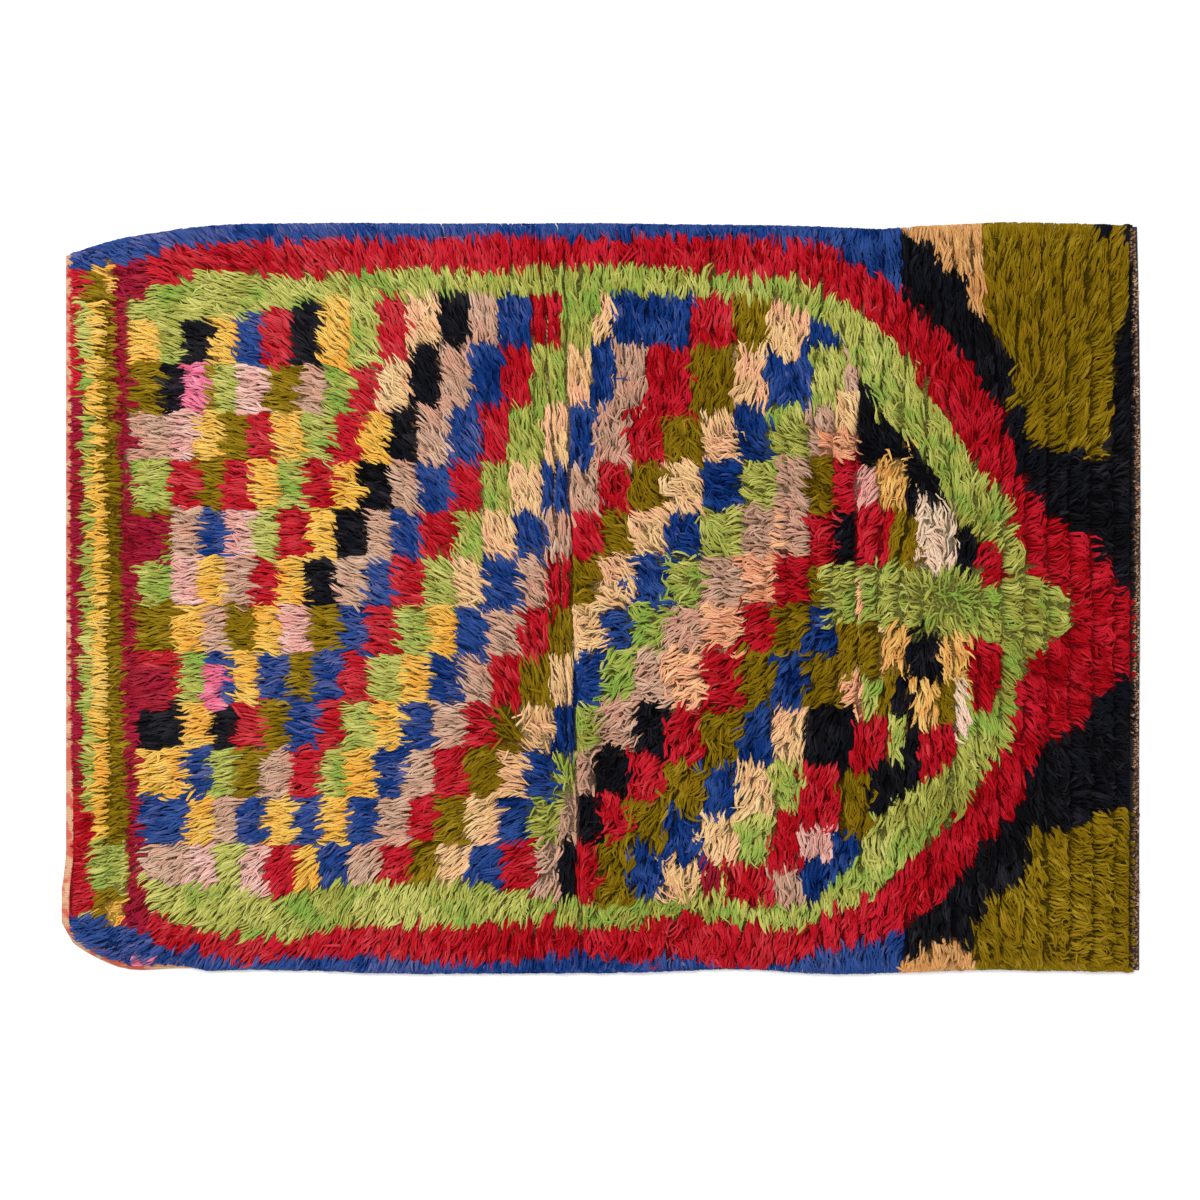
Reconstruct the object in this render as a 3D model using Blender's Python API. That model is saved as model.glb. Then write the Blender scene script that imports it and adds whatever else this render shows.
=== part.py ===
"""A tulu rug: one hand-knotted cloth with a long wool pile, lying flat on the floor.

The rug is a single solid. Its underside is flat. Its top is the envelope of the pile: one rib for each
row of knots, soft lumps, the puffed end at the left with its trodden valley, and the parting where the
rug was folded in half. Flat-woven hems close both ends, and locks of wool lie out over both sides.

Metres, +Z up. +X runs along the warps towards the end that the niche points to, and the origin is at
the middle of the underside.
"""

import math
import random

import bmesh
import bpy
from mathutils import Vector, noise

# Size of the knotted cloth, without the locks that lie past its sides
LENGTH = 1.725
WIDTH = 1.174

# Outline: the fold of the far left corner, the round near left corner and the slow wander of the sides
FAR_CORNER_RUN = 0.32
FAR_CORNER_DROP = 0.050
NEAR_CORNER_RUN = 0.172
NEAR_CORNER_RISE = 0.072
SIDE_WANDER = 0.004
SIDE_WAVES = 2.3
LEFT_INSET = 0.007
LEFT_FLARE_RUN = 0.10
RIGHT_BOW = 0.0055
RIGHT_BOW_TOP = 0.19

# Flat-woven hems at the two ends
HEM_THICKNESS = 0.0035
LEFT_HEM = 0.013
RIGHT_HEM = 0.012
PILE_STEP = 0.006
STEP_HEIGHT = 0.013

# Pile envelope
PILE_HEIGHT = 0.025
ROW_PITCH = 0.035
RIB_DEPTH = 0.006
LUMPS = (
    # size of the lumps along and across the rug, and how far they rise or sink
    (0.20, 0.16, 0.010),
    (0.06, 0.08, 0.007),
)
ROW_WANDER = 0.004
RIM_HEIGHT = 0.013
RIM_RUN = 0.022

# Puffed left end, the valley beside it and the parting of the fold
RIDGE_X = -0.800
RIDGE_RISE = 0.007
RIDGE_SPREAD = 0.020
VALLEY_X = -0.748
VALLEY_DROP = 0.009
VALLEY_SPREAD = 0.018
PARTING_FAR_X = -0.055
PARTING_NEAR_X = -0.030
PARTING_DEPTH = 0.014

# Grid lines across the rug, and locks at its sides
CROSS_LINES = 24
LOCK_REACH = (0.006, 0.017)
LOCK_LEAN = 0.004
LOCK_RINGS = (
    # share of the reach, share of the root's width, share of the root's height
    (0.55, 0.70, 0.72),
    (1.00, 0.24, 0.26),
)
SEED = 11


def smooth(share):
    """A soft step from 0 to 1."""
    share = min(1.0, max(0.0, share))
    return share * share * (3 - 2 * share)


def bump(offset, spread):
    """A bell of height 1 that is down to a third at the spread."""
    return math.exp(-((offset / spread) ** 2))


def far_side(x):
    """The long side at +Y, which drops away towards the left corner."""
    run = min(1.0, (x + LENGTH / 2) / FAR_CORNER_RUN)
    wander = SIDE_WANDER * math.sin(SIDE_WAVES * math.tau * x / LENGTH)
    return WIDTH / 2 - FAR_CORNER_DROP * (1 - run) ** 2 - SIDE_WANDER / 2 + wander / 2


def near_side(x):
    """The long side at -Y, whose left corner is a quarter of an ellipse."""
    run = min(1.0, (x + LENGTH / 2) / NEAR_CORNER_RUN)
    rise = NEAR_CORNER_RISE * (1 - math.sqrt(max(0.0, 1 - (1 - run) ** 2)))
    wander = SIDE_WANDER * math.sin(SIDE_WAVES * math.tau * x / LENGTH + 2.0)
    return -WIDTH / 2 + rise + SIDE_WANDER / 2 + wander / 2


def left_end(y):
    """The end at -X, which flares out towards the near corner."""
    return -LENGTH / 2 + LEFT_INSET * smooth((y + WIDTH / 2 - LEFT_FLARE_RUN / 2) / LEFT_FLARE_RUN)


def right_end(y):
    """The end at +X, slightly bowed towards its far corner."""
    away = (y - RIGHT_BOW_TOP) / (WIDTH / 2 - RIGHT_BOW_TOP)
    return LENGTH / 2 - RIGHT_BOW * min(1.0, away * away)


def stations():
    """The grid lines along the rug: (distance from the left end's line, kind), hem to hem."""
    lines = [(0.0, "hem"), (LEFT_HEM, "hem"), (LEFT_HEM + PILE_STEP, "step")]
    start = LEFT_HEM + 2 * PILE_STEP
    end = LENGTH - RIGHT_HEM - 2 * PILE_STEP
    rows = round((end - start) / ROW_PITCH)
    for line in range(2 * rows + 1):
        along = start + (end - start) * line / (2 * rows)
        lines.append((along, "crest" if line % 2 else "valley"))
    lines += [(end + PILE_STEP, "step"), (LENGTH - RIGHT_HEM, "hem"), (LENGTH, "hem")]
    return lines


def cross_shares():
    """Shares of the width from -Y to +Y, closer together beside each rim."""
    rim = RIM_RUN / WIDTH
    inner = CROSS_LINES - 2
    return [0.0] + [rim + (1 - 2 * rim) * line / inner for line in range(inner + 1)] + [1.0]


def parting_x(y):
    """Where the fold's parting runs: it leans towards +X on its way to the near side."""
    share = (y + WIDTH / 2) / WIDTH
    return PARTING_NEAR_X + (PARTING_FAR_X - PARTING_NEAR_X) * share


def pile_top(x, y, kind):
    """Height of the pile's envelope over a point of the cloth."""
    ridge = RIDGE_RISE * bump(x - RIDGE_X, RIDGE_SPREAD)
    valley = VALLEY_DROP * bump(x - VALLEY_X, VALLEY_SPREAD)
    lumps = sum(depth * noise.noise(Vector((x / along, y / across, 0.3))) for along, across, depth in LUMPS)
    rib = RIB_DEPTH / 2 if kind == "crest" else -RIB_DEPTH / 2
    return PILE_HEIGHT + ridge - valley + lumps + rib


def top_point(along, kind, share, on_parting):
    """A point of the top surface from its place along and across the rug."""
    y_rough = (share - 0.5) * WIDTH
    left, right = left_end(y_rough), right_end(y_rough)
    x = left + (right - left) * along / LENGTH
    if kind in ("crest", "valley"):
        x += ROW_WANDER * noise.noise(Vector((along / 0.3, y_rough / 0.2, 4.0)))
    if on_parting:
        x = parting_x(y_rough)
    near, far = near_side(x), far_side(x)
    y = near + (far - near) * share
    if kind == "hem":
        return Vector((x, y, HEM_THICKNESS))
    if kind == "step":
        return Vector((x, y, STEP_HEIGHT))
    height = pile_top(x, y, kind) - (PARTING_DEPTH if on_parting else 0)
    rim = smooth(min(y - near, far - y) / RIM_RUN)
    return Vector((x, y, RIM_HEIGHT + (height - RIM_HEIGHT) * rim))


def woven_top():
    """The top surface as a grid, each line of which is one station along the rug."""
    lines, shares = stations(), cross_shares()
    parting = min(
        (n for n, line in enumerate(lines) if line[1] == "valley"),
        key=lambda n: abs(lines[n][0] - LENGTH / 2 - parting_x(0)),
    )
    bm = bmesh.new()
    bmesh.ops.create_grid(bm, x_segments=len(lines) - 1, y_segments=len(shares) - 1, size=1.0)
    for vert in bm.verts:
        column = round((vert.co.x + 1) / 2 * (len(lines) - 1))
        row = round((vert.co.y + 1) / 2 * (len(shares) - 1))
        along, kind = lines[column]
        vert.co = top_point(along, kind, shares[row], column == parting)
    return bm


def drop_walls(bm):
    """Walls from the rim of the top down to the floor, and the flat underside. Returns the walls."""
    rim = [edge for edge in bm.edges if edge.is_boundary]
    made = bmesh.ops.extrude_edge_only(bm, edges=rim)["geom"]
    for vert in (item for item in made if isinstance(item, bmesh.types.BMVert)):
        vert.co.z = 0.0
    walls = [item for item in made if isinstance(item, bmesh.types.BMFace)]
    floor_edges = [edge for edge in bm.edges if edge.is_boundary]
    bmesh.ops.triangle_fill(bm, use_beauty=True, edges=floor_edges)
    return walls


def draw_lock(bm, wall, draw):
    """One tapered, four-sided lock of wool drawn out of a wall, with its underside level on the floor."""
    corners = [vert.co.copy() for vert in wall.verts]
    feet = [corner for corner in corners if corner.z < HEM_THICKNESS / 2]
    middle = (feet[0] + feet[1]) / 2
    across = (feet[1] - feet[0]) / 2
    outward = Vector((0.0, math.copysign(1.0, middle.y), 0.0))
    root_height = max(corner.z for corner in corners)
    reach = draw.uniform(*LOCK_REACH)
    lean = draw.uniform(-LOCK_LEAN, LOCK_LEAN)
    for along, width, height in LOCK_RINGS:
        wall = bmesh.ops.extrude_discrete_faces(bm, faces=[wall])["faces"][0]
        for vert in wall.verts:
            side = math.copysign(1.0, (vert.co - middle).dot(across))
            level = root_height * height if vert.co.z > HEM_THICKNESS / 2 else 0.0
            vert.co = middle + across * side * width + outward * reach * along
            vert.co.x += lean * along
            vert.co.z = level


def draw_locks(bm, walls):
    """Locks along both long sides, wherever the wall is as tall as the pile's rim."""
    draw = random.Random(SEED)
    for wall in sorted(walls, key=lambda face: tuple(face.calc_center_median())):
        normal_is_sideways = abs(wall.normal.y) > abs(wall.normal.x)
        if normal_is_sideways and min(v.co.z for v in wall.verts if v.co.z > 0) > STEP_HEIGHT * 0.9:
            draw_lock(bm, wall, draw)


def centre_on_origin(bm):
    """Moves the whole rug so that its box stands centred on the origin."""
    xs = [vert.co.x for vert in bm.verts]
    ys = [vert.co.y for vert in bm.verts]
    middle = Vector(((min(xs) + max(xs)) / 2, (min(ys) + max(ys)) / 2, 0.0))
    bmesh.ops.translate(bm, vec=-middle, verts=bm.verts)


def red_wool():
    """The pile's ground colour, a matt madder red."""
    material = bpy.data.materials.new("wool_pile")
    material.use_nodes = True
    surface = material.node_tree.nodes["Principled BSDF"]
    surface.inputs["Base Color"].default_value = (0.50, 0.02, 0.04, 1.0)
    surface.inputs["Roughness"].default_value = 0.9
    surface.inputs["Metallic"].default_value = 0.0
    return material


def make_rug(collection):
    """The whole rug as one closed solid."""
    bm = woven_top()
    walls = drop_walls(bm)
    bmesh.ops.recalc_face_normals(bm, faces=bm.faces)
    draw_locks(bm, walls)
    centre_on_origin(bm)
    bmesh.ops.recalc_face_normals(bm, faces=bm.faces)
    mesh = bpy.data.meshes.new("rug")
    bm.to_mesh(mesh)
    bm.free()
    mesh.shade_smooth()
    mesh.set_sharp_from_angle(angle=math.radians(50))
    rug = bpy.data.objects.new("rug", mesh)
    rug.data.materials.append(red_wool())
    collection.objects.link(rug)


for old in list(bpy.data.objects):
    bpy.data.objects.remove(old, do_unlink=True)

tulu = bpy.data.collections.new("tulu_rug")
bpy.context.scene.collection.children.link(tulu)
make_rug(tulu)
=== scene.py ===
import math

import bpy
import numpy as np
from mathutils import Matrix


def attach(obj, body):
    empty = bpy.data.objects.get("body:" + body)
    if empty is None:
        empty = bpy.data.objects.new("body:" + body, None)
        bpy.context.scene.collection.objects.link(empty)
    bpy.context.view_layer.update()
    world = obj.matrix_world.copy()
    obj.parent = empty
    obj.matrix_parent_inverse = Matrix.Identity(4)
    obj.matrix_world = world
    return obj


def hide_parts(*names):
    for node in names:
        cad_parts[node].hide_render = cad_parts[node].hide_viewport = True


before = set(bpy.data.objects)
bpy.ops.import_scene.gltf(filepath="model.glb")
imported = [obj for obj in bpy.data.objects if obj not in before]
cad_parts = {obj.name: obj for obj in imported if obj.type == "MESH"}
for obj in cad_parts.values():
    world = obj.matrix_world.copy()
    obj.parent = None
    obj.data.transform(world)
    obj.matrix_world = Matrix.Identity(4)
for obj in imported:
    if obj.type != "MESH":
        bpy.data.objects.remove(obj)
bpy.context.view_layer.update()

# Camera
# The rug lies flat on the floor and is seen from straight above, with its far side at the top of the
# picture. A long lens from high up keeps all its edges square.

PICTURE_WIDTH = 1.92
PICTURE_MIDDLE = (-0.0016, -0.0016)
CAMERA_HEIGHT = 6.0
FILM_WIDTH = 36.0


def put(name, data):
    """A new object of the scene with this data."""
    made = bpy.data.objects.new(name, data)
    bpy.context.scene.collection.objects.link(made)
    return made


lens = bpy.data.cameras.new("overhead_camera")
lens.sensor_width = FILM_WIDTH
lens.lens = FILM_WIDTH * CAMERA_HEIGHT / PICTURE_WIDTH
lens.clip_end = 50.0
camera = put("overhead_camera", lens)
camera.location = (*PICTURE_MIDDLE, CAMERA_HEIGHT)
bpy.context.scene.camera = camera


# Ground cloth
# Undyed wool warps run along the rug, and pale wefts are beaten in across them. It is one cloth from hem
# to hem, woven without knots for a finger's width at both ends, and its corners were stretched in use.

CM = 0.01
LENGTH = 1.725
WIDTH = 1.174
FAR_CORNER_RUN = 0.32
FAR_CORNER_DROP = 0.036
NEAR_CORNER_RUN = 0.172
NEAR_CORNER_RISE = 0.072
SIDE_WANDER = 0.004
SIDE_WAVES = 2.3
NEAR_SIDE_PHASE = 2.0
# Where the near side swells out beside its round corner: the middle, the spread and the height of a bell, and
# the start, the run and the height of a soft step
NEAR_BELL = (-0.76, 0.05, 0.008)
NEAR_STEP = (-0.55, -0.11, 0.006)
# Where both long sides flare out at the right corners
RIGHT_STEP = (0.825, 0.02, 0.009)
LEFT_INSET = 0.007
LEFT_FLARE_RUN = 0.10
RIGHT_BOW = (0.0055, 0.0020)
RIGHT_BOW_TOP = 0.19
CLOTH_UNDERSIDE = 0.0004
CLOTH_TOP = 0.0034
CLOTH_LINES = (96, 40)
RIPPLE_HEIGHT, RIPPLE_SIZE = 0.0006, 0.03
NET_KNOTS = 128
WARP_SCALE, WEFT_SCALE = 80.0, 120.0
# From where to where the red run dye of the left hem fades out, and the dark wefts of the right hem begin
RUN_DYE_X = (-0.62, -0.70)
DARK_WEFT_X = (0.835, 0.842)


def smooth(share):
    """A soft step from 0 to 1: 3 s^2 - 2 s^3, held at its ends."""
    share = np.clip(share, 0.0, 1.0)
    return share * share * (3 - 2 * share)


def soft_step(value, start, run, height=1.0):
    """A soft step of this height, which starts here and takes this long, upwards or, if minus, downwards."""
    return height * smooth((value - start) / run)


def bell(value, middle, spread_out, height=1.0):
    """A bell of this height round a middle: e to the minus square of the distance in spreads."""
    return height * np.exp(-(((value - middle) / spread_out) ** 2))


def far_side(x):
    """The long side at +Y: a straight line with a slow sine, less a parabola at the left corner, plus a soft
    step at the right one."""
    run = np.minimum(1.0, (x + LENGTH / 2) / FAR_CORNER_RUN)
    wander = SIDE_WANDER * np.sin(SIDE_WAVES * math.tau * x / LENGTH)
    flare = soft_step(x, *RIGHT_STEP)
    return WIDTH / 2 - FAR_CORNER_DROP * (1 - run) ** 2 + flare - SIDE_WANDER / 2 + wander / 2


def near_side(x):
    """The long side at -Y: a straight line with a slow sine, and a quarter ellipse at the left corner, flared
    out by a bell and a soft step where it meets the side, and by a soft step at the right corner."""
    run = np.clip((x + LENGTH / 2) / NEAR_CORNER_RUN, 0.0, 1.0)
    rise = NEAR_CORNER_RISE * (1 - np.sqrt(1 - (1 - run) ** 2))
    wander = SIDE_WANDER * np.sin(SIDE_WAVES * math.tau * x / LENGTH + NEAR_SIDE_PHASE)
    flare = bell(x, *NEAR_BELL) + soft_step(x, *NEAR_STEP) + soft_step(x, *RIGHT_STEP)
    return -WIDTH / 2 + rise - flare + SIDE_WANDER / 2 + wander / 2


def left_end(y):
    """The end at -X, a straight line that steps out softly beside the near corner."""
    return -LENGTH / 2 + LEFT_INSET * smooth((y + WIDTH / 2 - LEFT_FLARE_RUN / 2) / LEFT_FLARE_RUN)


def right_end(y):
    """The end at +X, a straight line less a shallow parabola towards the far corner and a shallower one
    towards the near corner."""
    away = (y - RIGHT_BOW_TOP) / (WIDTH / 2 - RIGHT_BOW_TOP)
    return LENGTH / 2 - np.where(away > 0, *RIGHT_BOW) * np.minimum(1.0, away * away)


def shares_of(lines):
    """The shares along and across the rug at each crossing of a grid of so many lines along and across."""
    across, along = np.meshgrid(np.linspace(0, 1, lines[1]), np.linspace(0, 1, lines[0]))
    return along, across


def spread(along, across, margin=0.0):
    """Points (x, y) of the rug from two shares of its length and width, a margin inside its outline."""
    y_rough = (across - 0.5) * WIDTH
    left, right = left_end(y_rough) + margin, right_end(y_rough) - margin
    x = left + (right - left) * along
    near, far = near_side(x) + margin, far_side(x) - margin
    return x, near + (far - near) * across


def closed_sheet(name, x, y, top, bottom):
    """A closed thin sheet on a grid: its top face at the heights top, its bottom face at the heights bottom,
    and a strip of wall along each of its four edges. All are arrays of the grid's shape."""
    rows, columns = x.shape
    upper = np.arange(rows * columns).reshape(rows, columns)
    lower = upper + rows * columns
    faces = [
        np.stack([upper[:-1, :-1], upper[1:, :-1], upper[1:, 1:], upper[:-1, 1:]], -1).reshape(-1, 4),
        np.stack([lower[:-1, :-1], lower[:-1, 1:], lower[1:, 1:], lower[1:, :-1]], -1).reshape(-1, 4),
    ]
    for over, under in (
        (upper[0, :], lower[0, :]),
        (upper[:, -1], lower[:, -1]),
        (upper[-1, ::-1], lower[-1, ::-1]),
        (upper[::-1, 0], lower[::-1, 0]),
    ):
        faces.append(np.stack([over[:-1], over[1:], under[1:], under[:-1]], -1))
    points = [np.stack([x, y, height], -1).reshape(-1, 3) for height in (top, bottom)]
    return mesh_piece(name, np.concatenate(points), np.concatenate(faces))


def mesh_piece(name, points, quads, triangles=None):
    """A piece from its points and its faces, all quads first and then all triangles."""
    corners = quads.reshape(-1)
    starts = np.arange(len(quads)) * 4
    if triangles is not None:
        starts = np.concatenate([starts, len(corners) + np.arange(len(triangles)) * 3])
        corners = np.concatenate([corners, triangles.reshape(-1)])
    mesh = bpy.data.meshes.new(name)
    mesh.vertices.add(len(points))
    mesh.vertices.foreach_set("co", points.astype(np.float32).ravel())
    mesh.loops.add(len(corners))
    mesh.loops.foreach_set("vertex_index", corners.astype(np.int32))
    mesh.polygons.add(len(starts))
    mesh.polygons.foreach_set("loop_start", starts.astype(np.int32))
    mesh.update(calc_edges=True)
    mesh.shade_smooth()
    return put(name, mesh)


class Shade:
    """A socket of a material's nodes. Arithmetic on it adds the Math nodes that work it out."""

    def __init__(self, finish, socket):
        self.finish = finish
        self.socket = socket

    def maths(self, operation, *others):
        """A Math node of this operation on the socket and the others."""
        inputs = dict(enumerate((self, *others)))
        return self.finish.node("Math", {"operation": operation}, inputs)

    def __add__(self, other):
        return self.maths("ADD", other)

    def __mul__(self, other):
        return self.maths("MULTIPLY", other)

    def __sub__(self, other):
        return self.maths("SUBTRACT", other)

    def __rsub__(self, other):
        return self * -1 + other

    __radd__ = __add__
    __rmul__ = __mul__


class Finish:
    """A Principled material. Its nodes are made one by one with node(), and linked as they are made."""

    def __init__(self, name, roughness, sheen=0.0, specular=0.3):
        self.material = bpy.data.materials.new(name)
        self.material.use_nodes = True
        self.tree = self.material.node_tree
        self.surface = self.tree.nodes["Principled BSDF"]
        self.surface.inputs["Roughness"].default_value = roughness
        self.surface.inputs["Sheen Weight"].default_value = sheen
        self.surface.inputs["Sheen Roughness"].default_value = 0.6
        self.surface.inputs["Specular IOR Level"].default_value = specular

    def node(self, kind, settings=None, inputs=None, output=0):
        """A shader node of this kind: its settings or a ramp's stops, then its inputs' values or links."""
        made = self.tree.nodes.new("ShaderNode" + kind)
        for name, value in (settings or {}).items():
            if name == "stops":
                self.lay_stops(made.color_ramp, value)
            else:
                setattr(made, name, value)
        for name, value in (inputs or {}).items():
            self.feed(made.inputs[name], value)
        return Shade(self, made.outputs[output])

    def feed(self, socket, value):
        """A link into a socket, or its plain value."""
        if isinstance(value, Shade):
            self.tree.links.new(value.socket, socket)
        else:
            socket.default_value = value

    def lay_stops(self, ramp, stops):
        """The places and colours of a ramp's stops."""
        while len(ramp.elements) < len(stops):
            ramp.elements.new(0.5)
        for element, (place, colour) in zip(ramp.elements, stops):
            element.position = place
            element.color = colour

    def mix(self, factor, first, second):
        """A mix of two colours. The Mix node's colour sockets are its inputs 6 and 7 and its output 2."""
        return self.node("Mix", {"data_type": "RGBA"}, {0: factor, 6: first, 7: second}, output=2)

    def darker(self, colour, brightness):
        """A colour times a brightness."""
        return self.node("VectorMath", {"operation": "SCALE"}, {0: colour, "Scale": brightness})

    def noise(self, scale, detail):
        """Noise in the piece's own coordinates."""
        place = self.node("TexCoord", output="Object")
        return self.node("TexNoise", None, {"Vector": place, "Scale": scale, "Detail": detail})

    def between(self, value, start, stop):
        """A step from 0 at one value to 1 at another."""
        return self.node("MapRange", None, {0: value, 1: start, 2: stop})

    def colour(self, colour):
        """The colour of the surface."""
        self.feed(self.surface.inputs["Base Color"], colour)

    def relief(self, height, strength, depth):
        """A bump of this height, whose full range is depth metres."""
        inputs = {"Height": height, "Strength": strength, "Distance": depth}
        self.feed(self.surface.inputs["Normal"], self.node("Bump", None, inputs))


def wool(red, green, blue):
    """A dyed wool's colour from its 0 to 255 values on a screen."""
    shares = np.array([red, green, blue]) / 255
    linear = np.where(shares <= 0.04045, shares / 12.92, ((shares + 0.055) / 1.055) ** 2.4)
    return (*linear.tolist(), 1.0)


def drift(x, y, size, seed):
    """A slow waver between -1 and 1: seeded numbers on a square net, blended between its knots by smooth.
    The middle of the net lies on the middle of the rug."""
    net = np.random.default_rng(seed).uniform(-1, 1, (NET_KNOTS, NET_KNOTS))
    u, v = x / size + NET_KNOTS // 2, y / size + NET_KNOTS // 2
    i, j = np.floor(u).astype(int), np.floor(v).astype(int)
    a, b = smooth(u - i), smooth(v - j)
    i, j = i % (NET_KNOTS - 1), j % (NET_KNOTS - 1)
    here = net[i, j] * (1 - a) + net[i + 1, j] * a
    beside = net[i, j + 1] * (1 - a) + net[i + 1, j + 1] * a
    return here * (1 - b) + beside * b


cloth_x, cloth_y = spread(*shares_of(CLOTH_LINES))
cloth_z = CLOTH_TOP + RIPPLE_HEIGHT * drift(cloth_x, cloth_y, RIPPLE_SIZE, 5)
ground_cloth = closed_sheet("ground_cloth", cloth_x, cloth_y, cloth_z, np.full_like(cloth_x, CLOTH_UNDERSIDE))

weave = Finish("undyed_wool_weave", roughness=0.95, sheen=0.1, specular=0.2)
on_cloth = weave.node("TexCoord", output="Object")


def threads(bands, scale, distortion):
    """Threads side by side along one axis of the cloth, a little uneven: a wave from 0 to 1."""
    inputs = {"Vector": on_cloth, "Scale": scale, "Distortion": distortion, "Detail": 1.0}
    return weave.node("TexWave", {"bands_direction": bands}, inputs)


warps = threads("Y", WARP_SCALE, 1.5)
wefts = threads("X", WEFT_SCALE, 1.0)
cloth_along = weave.node("SeparateXYZ", None, {0: on_cloth})
bare_wool = weave.mix(weave.noise(14.0, 3.0), wool(196, 138, 96), wool(230, 190, 154))
# The darker brown laid by the warp and weft waves is painted shade between the threads.
woven = weave.mix(warps * wefts * 0.6, bare_wool, wool(150, 96, 60))
run_dye = weave.between(weave.noise(38.0, 2.0), 0.47, 0.56) * weave.between(cloth_along, *RUN_DYE_X)
woven = weave.mix(run_dye * 0.8, woven, wool(196, 62, 50))
woven = weave.mix(weave.between(cloth_along, *DARK_WEFT_X), woven, wool(30, 24, 22))
weave.colour(woven)
weave.relief(warps * 0.5 + wefts * 0.5, 0.8, 0.0012)
ground_cloth.data.materials.append(weave.material)
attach(ground_cloth, "root")
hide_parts("rug")


# The weaver's plan
# What the weaver keeps in mind: a stepped niche that points to the right end, outlined in green and red on
# black, with a green cross at its head, a check laid out in slanting lines of one yarn, and plain bands.

YARNS = (
    "red", "burgundy", "blue", "green", "olive", "black", "cream", "yellow", "tan", "rose", "pink", "ivory",
    "peach", "straw", "camel",
)
RED, BURGUNDY, BLUE, GREEN, OLIVE, BLACK, CREAM, YELLOW = range(8)
TAN, ROSE, PINK, IVORY, PEACH, STRAW, CAMEL = range(8, len(YARNS))

# Edges of the niche's bands, as corners in centimetres from the middle of the rug
RED_FAR = (
    (-86, 52.8), (-77, 53.6), (-73, 54.8), (-70, 56.6), (-62, 57.2), (-50, 57.8), (-38, 58.2), (-28, 57.9),
    (-16, 58.7), (-6, 58.3), (4, 58.9), (24, 58.4), (36, 57.4), (40, 54.4), (47.5, 50.3), (58, 39.7),
    (61, 35), (65, 29.8), (66.5, 21), (73.6, 12.5), (79.7, 9.4), (81.4, 5.3), (84.3, 1.4), (85.6, 0),
)
RED_NEAR = (
    (-86, -50.2), (-80, -51.8), (-74, -53.2), (-70, -56), (-65, -57.2), (-58, -58.8), (-50, -57.9),
    (-38, -57.7), (-30, -58.8), (-14, -59.1), (-6, -57.6), (0, -57.5), (6, -59.1), (12, -57.8), (19, -58.9),
    (30, -59), (37, -56.6), (44, -55.2), (50.3, -51.8), (56, -47), (60.5, -41), (66, -35.5), (69, -28),
    (70.5, -23.5), (77, -21), (78.8, -16.5), (82, -13.5), (85.8, -13),
)
GREEN_FAR = (
    (-77, 47.4), (-74.5, 49.4), (-68, 50.4), (-65, 52.6), (-50, 51.8), (-28, 53.6), (-16, 53), (-8, 53.8),
    (11, 54), (22, 52.3), (31, 52.2), (38.4, 48.5), (49.4, 39.5), (53, 32), (59.8, 22), (66, 16.6),
    (67, 8.6), (70, 3.8), (76, 0),
)
GREEN_NEAR = (
    (-74, -44), (-73, -50), (-64.5, -53.6), (-58, -54.9), (-51, -55.2), (-40, -52.4), (-28, -53),
    (-10, -52.6), (6, -53.2), (12, -51), (30.7, -54), (37, -50.5), (43, -48.6), (47, -43.7), (55, -37.6),
    (59.5, -32), (66, -23.2), (66.6, -13.4), (72, -7.4), (76, -3.7),
)
FIELD_FAR = (
    (-76, 44.6), (-67, 44.3), (-56, 46), (-41, 49.3), (16, 49.4), (27, 48.2), (33, 47), (38.4, 42),
    (44, 29.8), (49.4, 25.4), (53, 21), (56.6, 13.4), (64.6, 8.4), (66, 2.4),
)
FIELD_NEAR = (
    (-74, -43.8), (-71, -45.9), (-60, -46.6), (-52, -48.2), (-43, -46), (-20, -46), (0, -50), (8, -48.2),
    (22, -49.3), (34, -49.4), (40.2, -42.6), (41.8, -38), (46.7, -33), (55, -27.7), (59.4, -20.5),
    (62, -17.8), (66, -9.8),
)
# Edges of the corner fields beyond the niche
CAMEL_FAR = ((47.8, 59), (52.6, 57.4), (54.4, 54.6), (57.8, 52.3), (58.7, 48), (61, 45.3))
OLIVE_FAR = (
    (61, 44.6), (65.9, 38.6), (66, 31), (68.5, 30.9), (68.6, 26.6), (70.4, 24.3), (77, 24.8), (77.6, 22),
    (80.8, 21.8), (82, 34), (83, 42), (84.4, 48), (84.6, 60),
)
CAMEL_NEAR = ((47.8, -58.6), (52.6, -55.8), (56.6, -54.4), (59.4, -57.4))
OLIVE_NEAR = (
    (57.8, -53.1), (61, -51.4), (61.6, -48.6), (65.4, -47), (68.2, -44.2), (68.7, -37), (73.1, -37.4),
    (77, -36), (82.4, -33.8), (86, -34.2),
)
# Where the field, the green band, the blue sides and the two camel fields end towards the right
FIELD_END, GREEN_END, BLUE_END, CAMEL_FAR_END, CAMEL_NEAR_END = 0.659, 0.759, 0.478, 0.610, 0.594
# The far right corner is black past this x and y, but for a strip of olive at this x, of this half breadth
BLACK_CORNER = (0.795, 0.578)
OLIVE_STRIP = (0.83, 0.008)
# Stripes of the left end: the yarn, and where each begins at the far and the near corner, the first of them
# past the hem
END_STRIPES = (
    (RED, -91.6, -91.2),
    (GREEN, -84.4, -83.4),
    (YELLOW, -82.6, -81.8),
    (OLIVE, -80.9, -79.4),
    (BURGUNDY, -78.5, -75.6),
)
END_STRIPES_STOP = (-76.1, -73.9)

# The check: twelve rows of blocks, and columns that widen steadily towards the right
CHECK_FAR = 45.3
CHECK_ROW = 7.7
CHECK_ROWS = 12
CHECK_LEFT = -75.5
FIRST_COLUMN = 4.0
COLUMN_GROWTH = 0.088
COLUMNS = 34
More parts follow.
